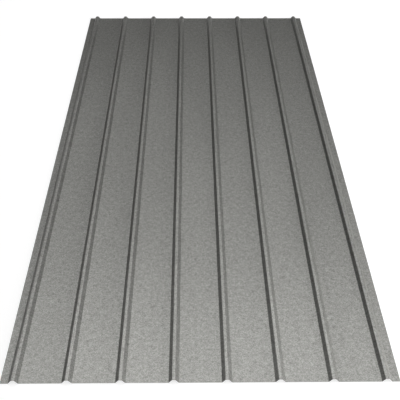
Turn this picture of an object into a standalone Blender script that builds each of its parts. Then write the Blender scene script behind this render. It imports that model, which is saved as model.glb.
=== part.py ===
"""Trapezoidal metal sheet: coated steel coil, roll formed into eight low ribs.

The sheet lies flat with its ribs up. Its width runs along X and its length along Y.
The origin is in the middle of the sheet, and Z = 0 is the underside of the pans.
All sizes are in metres.
"""

import math

import bmesh
import bpy

SHEET_NAME = "trapezoidal_sheet"

# The sheet as it is cut
SHEET_LENGTH = 2.000
SHEET_WIDTH = 0.910
STEEL_THICKNESS = 0.0005

# The rolled profile, measured along the middle of the steel
RIB_COUNT = 8
COVER_WIDTH = 0.850  # from the middle of the first rib to the middle of the last
RIB_PITCH = COVER_WIDTH / (RIB_COUNT - 1)
RIB_HEIGHT = 0.009
RIB_BASE = 0.023  # between the two folds at the foot of a rib
RIB_CROWN = 0.008  # between the two folds at its top
WEB_RUN = (RIB_BASE - RIB_CROWN) / 2

# The folds: the steel turns by the slope of the web at each one
FOLD_ANGLE = math.atan2(RIB_HEIGHT, WEB_RUN)
BEND_RADIUS = 0.0016
BEND_SETBACK = BEND_RADIUS * math.tan(FOLD_ANGLE / 2)
BEND_SEGMENTS = 4
ROUND_PROFILE = 0.5

COATING_COLOR = (0.31, 0.31, 0.30, 1.0)
COATING_ROUGHNESS = 0.6


def clear_scene():
    for thing in list(bpy.data.objects):
        bpy.data.objects.remove(thing, do_unlink=True)


def sheet_collection():
    collection = bpy.data.collections.new(SHEET_NAME)
    bpy.context.scene.collection.children.link(collection)
    return collection


def coating_material():
    """Matt grey coil coating, which hides the zinc and the steel under it."""
    material = bpy.data.materials.new("coil_coating")
    material.use_nodes = True
    surface = material.node_tree.nodes["Principled BSDF"]
    surface.inputs["Base Color"].default_value = COATING_COLOR
    surface.inputs["Roughness"].default_value = COATING_ROUGHNESS
    surface.inputs["Metallic"].default_value = 0.0
    return material


def rib_folds(middle):
    """The four folds of one rib, from left to right, as (x, z) above the pans."""
    return [
        (middle - RIB_BASE / 2, 0.0),
        (middle - RIB_CROWN / 2, RIB_HEIGHT),
        (middle + RIB_CROWN / 2, RIB_HEIGHT),
        (middle + RIB_BASE / 2, 0.0),
    ]


def section_corners():
    """The folded section from one side edge to the other."""
    corners = [(-SHEET_WIDTH / 2, 0.0)]
    for rib in range(RIB_COUNT):
        corners += rib_folds(rib * RIB_PITCH - COVER_WIDTH / 2)
    corners.append((SHEET_WIDTH / 2, 0.0))
    return corners


def draw_out(work, corners):
    """Draw the section out over the length, along the middle of the steel."""
    start = -SHEET_LENGTH / 2
    middle_of_steel = STEEL_THICKNESS / 2
    line = [work.verts.new((x, start, z + middle_of_steel)) for x, z in corners]
    section = [work.edges.new(pair) for pair in zip(line, line[1:])]
    drawn = bmesh.ops.extrude_edge_only(work, edges=section)
    far_end = [item for item in drawn["geom"] if isinstance(item, bmesh.types.BMVert)]
    bmesh.ops.translate(work, verts=far_end, vec=(0.0, SHEET_LENGTH, 0.0))


def roll_folds(work):
    """Round each fold, which is an edge between two faces, to its bend radius."""
    folds = [edge for edge in work.edges if len(edge.link_faces) == 2]
    bmesh.ops.bevel(
        work,
        geom=folds,
        affect="EDGES",
        offset_type="OFFSET",
        offset=BEND_SETBACK,
        segments=BEND_SEGMENTS,
        profile=ROUND_PROFILE,
    )


def keep_borders_sharp(work):
    """Smooth shading runs over the folds and stops at the cut edges."""
    for edge in work.edges:
        edge.smooth = not edge.is_boundary


def rolled_surface(name, corners):
    work = bmesh.new()
    draw_out(work, corners)
    roll_folds(work)
    keep_borders_sharp(work)
    mesh = bpy.data.meshes.new(name)
    work.to_mesh(mesh)
    work.free()
    mesh.shade_smooth()
    return bpy.data.objects.new(name, mesh)


def give_thickness(sheet):
    """Half of the steel goes to each side of the surface."""
    steel = sheet.modifiers.new("steel", "SOLIDIFY")
    steel.thickness = STEEL_THICKNESS
    steel.offset = 0.0
    steel.use_even_offset = True


def keep_flats_flat(sheet):
    """The wide pans and the webs keep their own normals, and only the folds shade round."""
    shading = sheet.modifiers.new("shading", "WEIGHTED_NORMAL")
    shading.keep_sharp = True


def build_sheet():
    sheet = rolled_surface(SHEET_NAME, section_corners())
    sheet_collection().objects.link(sheet)
    sheet.data.materials.append(coating_material())
    give_thickness(sheet)
    keep_flats_flat(sheet)
    return sheet


clear_scene()
build_sheet()
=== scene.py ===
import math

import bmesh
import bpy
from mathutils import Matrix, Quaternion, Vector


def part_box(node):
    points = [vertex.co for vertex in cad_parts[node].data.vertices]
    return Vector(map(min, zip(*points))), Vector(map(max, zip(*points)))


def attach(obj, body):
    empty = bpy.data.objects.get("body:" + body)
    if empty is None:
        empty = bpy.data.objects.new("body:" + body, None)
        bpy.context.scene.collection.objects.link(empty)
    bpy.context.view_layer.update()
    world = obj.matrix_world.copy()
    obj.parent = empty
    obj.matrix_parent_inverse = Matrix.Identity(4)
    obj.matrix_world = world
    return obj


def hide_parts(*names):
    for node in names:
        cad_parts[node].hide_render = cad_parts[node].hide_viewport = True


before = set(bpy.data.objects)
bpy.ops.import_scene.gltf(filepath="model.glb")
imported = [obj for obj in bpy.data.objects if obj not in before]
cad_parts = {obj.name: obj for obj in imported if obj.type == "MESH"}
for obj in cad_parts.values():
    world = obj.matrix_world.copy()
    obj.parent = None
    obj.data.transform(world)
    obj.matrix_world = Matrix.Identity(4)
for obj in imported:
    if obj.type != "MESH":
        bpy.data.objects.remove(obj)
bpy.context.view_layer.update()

# A trapezoidal roofing sheet: steel coil with a grained metallic coat, rolled into eight low ribs.
# It lies on a pale floor with its ribs up, and the camera looks down along it from one end.
# Lengths are in metres unless a name says millimetres. A squeeze is the scale of a pattern in one
# direction: below one, it draws the pattern out that way.

SHEET_NODE = "trapezoidal_sheet"
LOW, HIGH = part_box(SHEET_NODE)

# The sheet, from its CAD box and the sizes of its rolled section
SHEET_WIDTH = HIGH.x - LOW.x
SHEET_LENGTH = HIGH.y - LOW.y
STEEL_THICKNESS = 0.0005
RIB_HEIGHT = HIGH.z - LOW.z - STEEL_THICKNESS
RIB_COUNT = 8
COVER_WIDTH = 0.850
RIB_PITCH = COVER_WIDTH / (RIB_COUNT - 1)
RIB_BASE = 0.023
RIB_CROWN = 0.008
WEB_RUN = (RIB_BASE - RIB_CROWN) / 2
PAN_WIDTH = RIB_PITCH - RIB_BASE
EDGE_STRIP = (SHEET_WIDTH - COVER_WIDTH - RIB_BASE) / 2
FOLD_ANGLE = math.atan2(RIB_HEIGHT, WEB_RUN)
BEND_RADIUS = 0.0016
BEND_SEGMENTS = 8
CUTS_ALONG = 39
SMOOTH_BELOW = math.radians(30)

# The coat on top
FLAKE_CLUMP_MM = 1.8
FLAKE_MM = 0.5
FLAKE_SHARE = 0.25
FILM_CLOUD_MM = 12.0
FILM_SHARE = 0.4
DULL_CLUMP = "5b5b58"
BRIGHT_CLUMP = "b8b8b4"
COAT_METALLIC = 0.8
COAT_ROUGHNESS = 0.42
ROUGHNESS_SPREAD = 0.03
COIL_TONE_MM = 160.0
COIL_TONE_SQUEEZE = 0.22
COIL_TONE_SPREAD = 0.04
RUB_LINE_MM = 2.5
RUB_LINE_SQUEEZE = 0.01
RUB_SHARE = 0.12
RUBBED_ABOVE = 0.85
RUBBED_COAT = "d2d2ce"
RUBBED_ROUGHNESS = 0.3
ORANGE_PEEL_MM = 1.5
PEEL_DEPTH = 0.0002

# The back coat
BACK_STREAK_MM = 4.0
BACK_STREAK_SQUEEZE = 0.02
BACK_DARK = "9fa19d"
BACK_LIGHT = "c3c4c0"
BACK_ROUGHNESS = (0.48, 0.6)
PAINT_IOR = 1.5

# The cut edges
TEAR_MM = 1.0
TEAR_SQUEEZE = 0.1
TEAR_DEPTH = 0.0001
TORN_DULL = "85888a"
TORN_BRIGHT = "cfd1d2"
TORN_ROUGHNESS = (0.55, 0.3)

# The room
WHITE = "ffffff"
ROOM_GLOW = 0.01
HORIZON_BAND = 0.01
FLOOR_SIZE = 400.0
FLOOR_GAP = 0.0005
FLOOR_GLOW = 0.8
FLOOR_TONE = "a0a0a0"
LAMP_AIM = Vector((0.0, -0.3, 0.0))

# The camera
LENS_MM = 69.0
SENSOR_MM = 36.0
CAMERA_PLACE = (-0.0182, -2.1385, 1.3785)
CAMERA_DOWN = math.radians(37.04)
CAMERA_TURN = math.radians(0.756)
CAMERA_ROLL = math.radians(0.27)


# ---------------------------------------------------------------- modelling

def deselect_all():
    for thing in bpy.context.selected_objects:
        thing.select_set(False)


def select_edges(piece, wanted):
    """In edit mode, selects the edges for which wanted(one end, other end) is true."""
    bpy.ops.mesh.select_mode(type="EDGE")
    bpy.ops.mesh.select_all(action="DESELECT")
    shape = bmesh.from_edit_mesh(piece.data)
    for edge in shape.edges:
        start, end = (corner.co for corner in edge.verts)
        edge.select_set(wanted(start, end))
    bmesh.update_edit_mesh(piece.data)


def apply_modifier(piece, kind, **settings):
    modifier = piece.modifiers.new(kind.lower(), kind)
    for name, value in settings.items():
        setattr(modifier, name, value)
    bpy.ops.object.modifier_apply(modifier=modifier.name)


def section_steps():
    """Each flat of the section after the first edge strip, as (across, up), from left to right."""
    rib = [(WEB_RUN, RIB_HEIGHT), (RIB_CROWN, 0.0), (WEB_RUN, -RIB_HEIGHT)]
    steps = []
    for _ in range(RIB_COUNT - 1):
        steps += rib + [(PAN_WIDTH, 0.0)]
    return steps + rib + [(EDGE_STRIP, 0.0)]


def add_edge_strip():
    """The flat strip along the left side edge, in the middle of the steel."""
    deselect_all()
    middle = Vector((LOW.x + EDGE_STRIP / 2, (LOW.y + HIGH.y) / 2, LOW.z + STEEL_THICKNESS / 2))
    bpy.ops.mesh.primitive_plane_add(size=1.0, location=(0.0, 0.0, 0.0))
    sheet = bpy.context.object
    bpy.ops.object.mode_set(mode="EDIT")
    bpy.ops.transform.resize(value=(EDGE_STRIP, SHEET_LENGTH, 1.0), center_override=(0.0, 0.0, 0.0))
    bpy.ops.transform.translate(value=middle)
    return sheet


def pull_out_section(sheet):
    """Pulls each web, crown and pan out of the edge of the one before it."""
    right = LOW.x + EDGE_STRIP
    select_edges(sheet, lambda start, end: min(start.x, end.x) > right - WEB_RUN / 2)
    for across, up in section_steps():
        bpy.ops.mesh.extrude_region_move(TRANSFORM_OT_translate={"value": (across, 0.0, up)})


def roll_folds(sheet):
    """Rounds every fold to its bend radius."""
    setback = BEND_RADIUS * math.tan(FOLD_ANGLE / 2)
    bpy.ops.mesh.select_all(action="DESELECT")
    bpy.ops.mesh.edges_select_sharp(sharpness=FOLD_ANGLE / 2)
    bpy.ops.mesh.bevel(offset_type="OFFSET", offset=setback, segments=BEND_SEGMENTS,
                       profile=0.5, affect="EDGES")


def cut_across(sheet):
    """Divides the long faces into shorter ones."""
    select_edges(sheet, lambda start, end: abs(start.y - end.y) > SHEET_LENGTH / 2)
    bpy.ops.mesh.subdivide(number_cuts=CUTS_ALONG)


def roofing_sheet(finishes):
    """The finished sheet. Its finishes are those of the top, the back and the cut edges, in order."""
    sheet = add_edge_strip()
    sheet.name = "roofing_sheet"
    pull_out_section(sheet)
    roll_folds(sheet)
    cut_across(sheet)
    bpy.ops.mesh.select_all(action="SELECT")
    bpy.ops.mesh.normals_make_consistent(inside=False)
    bpy.ops.object.mode_set(mode="OBJECT")
    for finish in finishes:
        sheet.data.materials.append(finish)
    apply_modifier(sheet, "SOLIDIFY", thickness=STEEL_THICKNESS, offset=0.0, use_even_offset=True,
                   material_offset=1, material_offset_rim=2)
    bpy.ops.object.shade_smooth_by_angle(angle=SMOOTH_BELOW)
    return sheet


# ---------------------------------------------------------------- materials

def color(hex_code):
    """sRGB hex to the linear RGBA that shaders use."""
    parts = [int(hex_code[i:i + 2], 16) / 255 for i in (0, 2, 4)]
    linear = [p / 12.92 if p <= 0.04045 else ((p + 0.055) / 1.055) ** 2.4 for p in parts]
    return (*linear, 1.0)


def node(tree, kind, settings=None, **inputs):
    """Adds a node; settings are its properties, and each input is a value or another node's output."""
    made = tree.nodes.new(kind)
    for name, value in (settings or {}).items():
        setattr(made, name, value)
    for name, value in inputs.items():
        socket = made.inputs[name.replace("_", " ")]
        if isinstance(value, bpy.types.NodeSocket):
            tree.links.new(value, socket)
        else:
            socket.default_value = value
    return made


def new_material(name):
    material = bpy.data.materials.new(name)
    material.use_nodes = True
    tree = material.node_tree
    tree.nodes.clear()
    return material, tree


def surface(tree, shader):
    out = tree.nodes.new("ShaderNodeOutputMaterial")
    tree.links.new(shader, out.inputs["Surface"])


def repeats(millimetres):
    """The scale of a pattern whose cells are this wide."""
    return 1000.0 / millimetres


def flake_coat():
    """Polyester coil coat with aluminium flake, rolled on and baked while the coil is flat.

    The flakes lie nearly level in it, so the sheet shines softly where it mirrors a lamp and is a
    dull grey elsewhere. They clump, which speckles it, and the film dries a little cloudy.
    """
    material, tree = new_material("metallic_polyester_coil_coat")
    place = node(tree, "ShaderNodeTexCoord").outputs["Object"]

    # One flake is some 0.03 mm across, too fine to show, so flakes and clumps are drawn coarser
    clumps = node(tree, "ShaderNodeTexVoronoi", None, Vector=place, Scale=repeats(FLAKE_CLUMP_MM))
    clump = node(tree, "ShaderNodeSeparateColor", None, Color=clumps.outputs["Color"]).outputs["Red"]
    flakes = node(tree, "ShaderNodeTexVoronoi", None, Vector=place, Scale=repeats(FLAKE_MM))
    flake = node(tree, "ShaderNodeSeparateColor", None, Color=flakes.outputs["Color"]).outputs["Red"]
    glint = node(tree, "ShaderNodeMix", None, Factor=FLAKE_SHARE, A=clump, B=flake).outputs["Result"]
    clouds = node(tree, "ShaderNodeTexNoise", None, Vector=place, Scale=repeats(FILM_CLOUD_MM),
                  Detail=3.0, Roughness=0.95)
    film = node(tree, "ShaderNodeMapRange", None, Value=clouds.outputs["Fac"],
                From_Min=0.25, From_Max=0.75)
    speckle = node(tree, "ShaderNodeMix", None, Factor=FILM_SHARE, A=glint, B=film.outputs["Result"])
    paint = node(tree, "ShaderNodeMix", {"data_type": "RGBA"}, Factor=speckle.outputs["Result"],
                 A=color(DULL_CLUMP), B=color(BRIGHT_CLUMP))

    # The coat is a shade thicker or thinner from place to place, in long bands along the coil
    along = node(tree, "ShaderNodeMapping", None, Vector=place, Scale=(1.0, COIL_TONE_SQUEEZE, 1.0))
    coil = node(tree, "ShaderNodeTexNoise", None, Vector=along.outputs["Vector"],
                Scale=repeats(COIL_TONE_MM), Detail=1.0)
    shade = node(tree, "ShaderNodeMapRange", None, Value=coil.outputs["Fac"],
                 From_Min=0.3, From_Max=0.7,
                 To_Min=1.0 - COIL_TONE_SPREAD, To_Max=1.0 + COIL_TONE_SPREAD)
    toned = node(tree, "ShaderNodeHueSaturation", None, Color=paint.outputs["Result"],
                 Value=shade.outputs["Result"])

    # Rolls and stacking rub the crowns bright in fine lines along the sheet
    height = node(tree, "ShaderNodeSeparateXYZ", None, Vector=place).outputs["Z"]
    on_crown = node(tree, "ShaderNodeMapRange", None, Value=height,
                    From_Min=LOW.z + RUBBED_ABOVE * RIB_HEIGHT, From_Max=HIGH.z)
    lengthwise = node(tree, "ShaderNodeMapping", None, Vector=place, Scale=(1.0, RUB_LINE_SQUEEZE, 1.0))
    lines = node(tree, "ShaderNodeTexNoise", None, Vector=lengthwise.outputs["Vector"],
                 Scale=repeats(RUB_LINE_MM), Detail=3.0)
    worn = node(tree, "ShaderNodeMapRange", None, Value=lines.outputs["Fac"],
                From_Min=0.45, From_Max=0.75, To_Max=RUB_SHARE)
    rub = node(tree, "ShaderNodeMath", {"operation": "MULTIPLY"})
    tree.links.new(on_crown.outputs["Result"], rub.inputs[0])
    tree.links.new(worn.outputs["Result"], rub.inputs[1])
    rubbed = node(tree, "ShaderNodeMix", {"data_type": "RGBA"}, Factor=rub.outputs["Value"],
                  A=toned.outputs["Color"], B=color(RUBBED_COAT))

    # Clumps differ in gloss too, rubbed lines are smoother, and the baked film has an orange peel
    grip = node(tree, "ShaderNodeMapRange", None, Value=glint,
                To_Min=COAT_ROUGHNESS - ROUGHNESS_SPREAD, To_Max=COAT_ROUGHNESS + ROUGHNESS_SPREAD)
    gloss = node(tree, "ShaderNodeMix", None, Factor=rub.outputs["Value"],
                 A=grip.outputs["Result"], B=RUBBED_ROUGHNESS)
    peel = node(tree, "ShaderNodeTexNoise", None, Vector=place, Scale=repeats(ORANGE_PEEL_MM),
                Detail=1.0)
    relief = node(tree, "ShaderNodeBump", None, Height=peel.outputs["Fac"],
                  Strength=0.25, Distance=PEEL_DEPTH)
    coat = node(tree, "ShaderNodeBsdfPrincipled", None, Base_Color=rubbed.outputs["Result"],
                Metallic=COAT_METALLIC, Roughness=gloss.outputs["Result"],
                Normal=relief.outputs["Normal"])
    surface(tree, coat.outputs["BSDF"])
    return material


def back_coat():
    """Epoxy back coat, a few thousandths of a millimetre rolled over the zinc.

    It is pale grey and dull, with faint streaks along the coil and a slight orange peel.
    """
    material, tree = new_material("epoxy_back_coat")
    place = node(tree, "ShaderNodeTexCoord").outputs["Object"]
    along = node(tree, "ShaderNodeMapping", None, Vector=place, Scale=(1.0, BACK_STREAK_SQUEEZE, 1.0))
    streaks = node(tree, "ShaderNodeTexNoise", None, Vector=along.outputs["Vector"],
                   Scale=repeats(BACK_STREAK_MM), Detail=4.0)
    paint = node(tree, "ShaderNodeMix", {"data_type": "RGBA"}, Factor=streaks.outputs["Fac"],
                 A=color(BACK_DARK), B=color(BACK_LIGHT))
    peel = node(tree, "ShaderNodeTexNoise", None, Vector=place, Scale=repeats(ORANGE_PEEL_MM))
    relief = node(tree, "ShaderNodeBump", None, Height=peel.outputs["Fac"],
                  Strength=0.15, Distance=PEEL_DEPTH)
    gloss = node(tree, "ShaderNodeMapRange", None, Value=streaks.outputs["Fac"],
                 To_Min=BACK_ROUGHNESS[0], To_Max=BACK_ROUGHNESS[1])
    coat = node(tree, "ShaderNodeBsdfPrincipled", None, Base_Color=paint.outputs["Result"],
                IOR=PAINT_IOR, Roughness=gloss.outputs["Result"], Normal=relief.outputs["Normal"])
    surface(tree, coat.outputs["BSDF"])
    return material


def sheared_steel():
    """Zinc-coated steel laid bare by the shears: bright torn lines across the cut, duller between."""
    material, tree = new_material("sheared_galvanised_steel")
    place = node(tree, "ShaderNodeTexCoord").outputs["Object"]
    upright = node(tree, "ShaderNodeMapping", None, Vector=place, Scale=(1.0, 1.0, TEAR_SQUEEZE))
    tears = node(tree, "ShaderNodeTexNoise", None, Vector=upright.outputs["Vector"],
                 Scale=repeats(TEAR_MM), Detail=2.0)
    metal = node(tree, "ShaderNodeMix", {"data_type": "RGBA"}, Factor=tears.outputs["Fac"],
                 A=color(TORN_DULL), B=color(TORN_BRIGHT))
    gloss = node(tree, "ShaderNodeMapRange", None, Value=tears.outputs["Fac"],
                 To_Min=TORN_ROUGHNESS[0], To_Max=TORN_ROUGHNESS[1])
    relief = node(tree, "ShaderNodeBump", None, Height=tears.outputs["Fac"],
                  Strength=0.3, Distance=TEAR_DEPTH)
    cut = node(tree, "ShaderNodeBsdfPrincipled", None, Base_Color=metal.outputs["Result"],
               Metallic=1.0, Roughness=gloss.outputs["Result"], Normal=relief.outputs["Normal"])
    surface(tree, cut.outputs["BSDF"])
    return material


# ---------------------------------------------------------------- stage

def pale_floor():
    """A pale floor just under the sheet.

    Part of its white glows, for the rays that show it, and the rest takes light and shadow.
    """
    deselect_all()
    bpy.ops.mesh.primitive_plane_add(size=FLOOR_SIZE, location=(0.0, 0.0, LOW.z - FLOOR_GAP))
    floor = bpy.context.object
    floor.name = "floor"
    material, tree = new_material("pale_studio_floor")
    ray = node(tree, "ShaderNodeLightPath").outputs
    direct = node(tree, "ShaderNodeMath", {"operation": "ADD"})
    tree.links.new(ray["Is Camera Ray"], direct.inputs[0])
    tree.links.new(ray["Is Glossy Ray"], direct.inputs[1])
    shown = node(tree, "ShaderNodeMath", {"operation": "ADD"})
    tree.links.new(direct.outputs["Value"], shown.inputs[0])
    tree.links.new(ray["Is Transmission Ray"], shown.inputs[1])
    share = node(tree, "ShaderNodeMapRange", None, Value=shown.outputs["Value"], To_Max=FLOOR_GLOW)
    glow = node(tree, "ShaderNodeEmission", None, Color=color(WHITE), Strength=share.outputs["Result"])
    matt = node(tree, "ShaderNodeBsdfDiffuse", None, Color=color(FLOOR_TONE))
    both = node(tree, "ShaderNodeAddShader")
    tree.links.new(matt.outputs["BSDF"], both.inputs[0])
    tree.links.new(glow.outputs["Emission"], both.inputs[1])
    surface(tree, both.outputs["Shader"])
    floor.data.materials.append(material)


def studio():
    """A dim room over a white horizon. The coat mirrors it, so it stays dark overhead."""
    world = bpy.data.worlds.new("studio")
    bpy.context.scene.world = world
    world.use_nodes = True
    tree = world.node_tree
    tree.nodes.clear()
    direction = node(tree, "ShaderNodeTexCoord").outputs["Generated"]
    height = node(tree, "ShaderNodeSeparateXYZ", None, Vector=direction).outputs["Z"]
    strength = node(tree, "ShaderNodeMapRange", None, Value=height,
                    From_Min=0.0, From_Max=HORIZON_BAND, To_Min=1.0, To_Max=ROOM_GLOW)
    room = node(tree, "ShaderNodeBackground", None, Color=color(WHITE),
                Strength=strength.outputs["Result"])
    out = tree.nodes.new("ShaderNodeOutputWorld")
    tree.links.new(room.outputs["Background"], out.inputs["Surface"])


def softbox(name, place, width, depth, watts):
    """A rectangular soft lamp, aimed at the middle of the view, whose width runs across the sheet."""
    data = bpy.data.lights.new(name, "AREA")
    data.shape = "RECTANGLE"
    data.size = width
    data.size_y = depth
    data.energy = watts
    lamp = bpy.data.objects.new(name, data)
    lamp.location = place
    lamp.visible_camera = False
    back = (Vector(place) - LAMP_AIM).normalized()
    across = (Vector((1.0, 0.0, 0.0)) - back * back.x).normalized()
    lamp.rotation_euler = Matrix((across, back.cross(across), back)).transposed().to_euler()
    bpy.context.scene.collection.objects.link(lamp)


def camera():
    """Looks down along the sheet from its near end, all but level from side to side."""
    data = bpy.data.cameras.new("camera")
    data.lens = LENS_MM
    data.sensor_width = SENSOR_MM
    view = bpy.data.objects.new("camera", data)
    bpy.context.scene.collection.objects.link(view)
    level = math.cos(CAMERA_DOWN)
    ahead = Vector((math.sin(CAMERA_TURN) * level, math.cos(CAMERA_TURN) * level,
                    -math.sin(CAMERA_DOWN)))
    view.location = CAMERA_PLACE
    facing = ahead.to_track_quat("-Z", "Y")
    view.rotation_mode = "QUATERNION"
    view.rotation_quaternion = facing @ Quaternion((0.0, 0.0, 1.0), CAMERA_ROLL)
    bpy.context.scene.camera = view


# ---------------------------------------------------------------- scene

sheet = roofing_sheet([flake_coat(), back_coat(), sheared_steel()])
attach(sheet, "root")
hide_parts(SHEET_NODE)

pale_floor()
studio()
# The first two shine off the flats, the next two off the webs, and the last lights views from behind
softbox("overhead", (0.0, 1.75, 4.0), width=4.8, depth=1.2, watts=86.0)
softbox("back", (0.0, 3.4, 2.5), width=3.0, depth=1.0, watts=9.5)
softbox("key", (2.4, -0.95, 0.62), width=1.0, depth=1.0, watts=97.0)
softbox("side", (-3.6, 1.4, 0.6), width=1.0, depth=1.0, watts=5.5)
softbox("front", (0.0, -4.5, 3.5), width=4.0, depth=1.5, watts=30.0)
camera()

bpy.context.scene.view_settings.view_transform = "Standard"
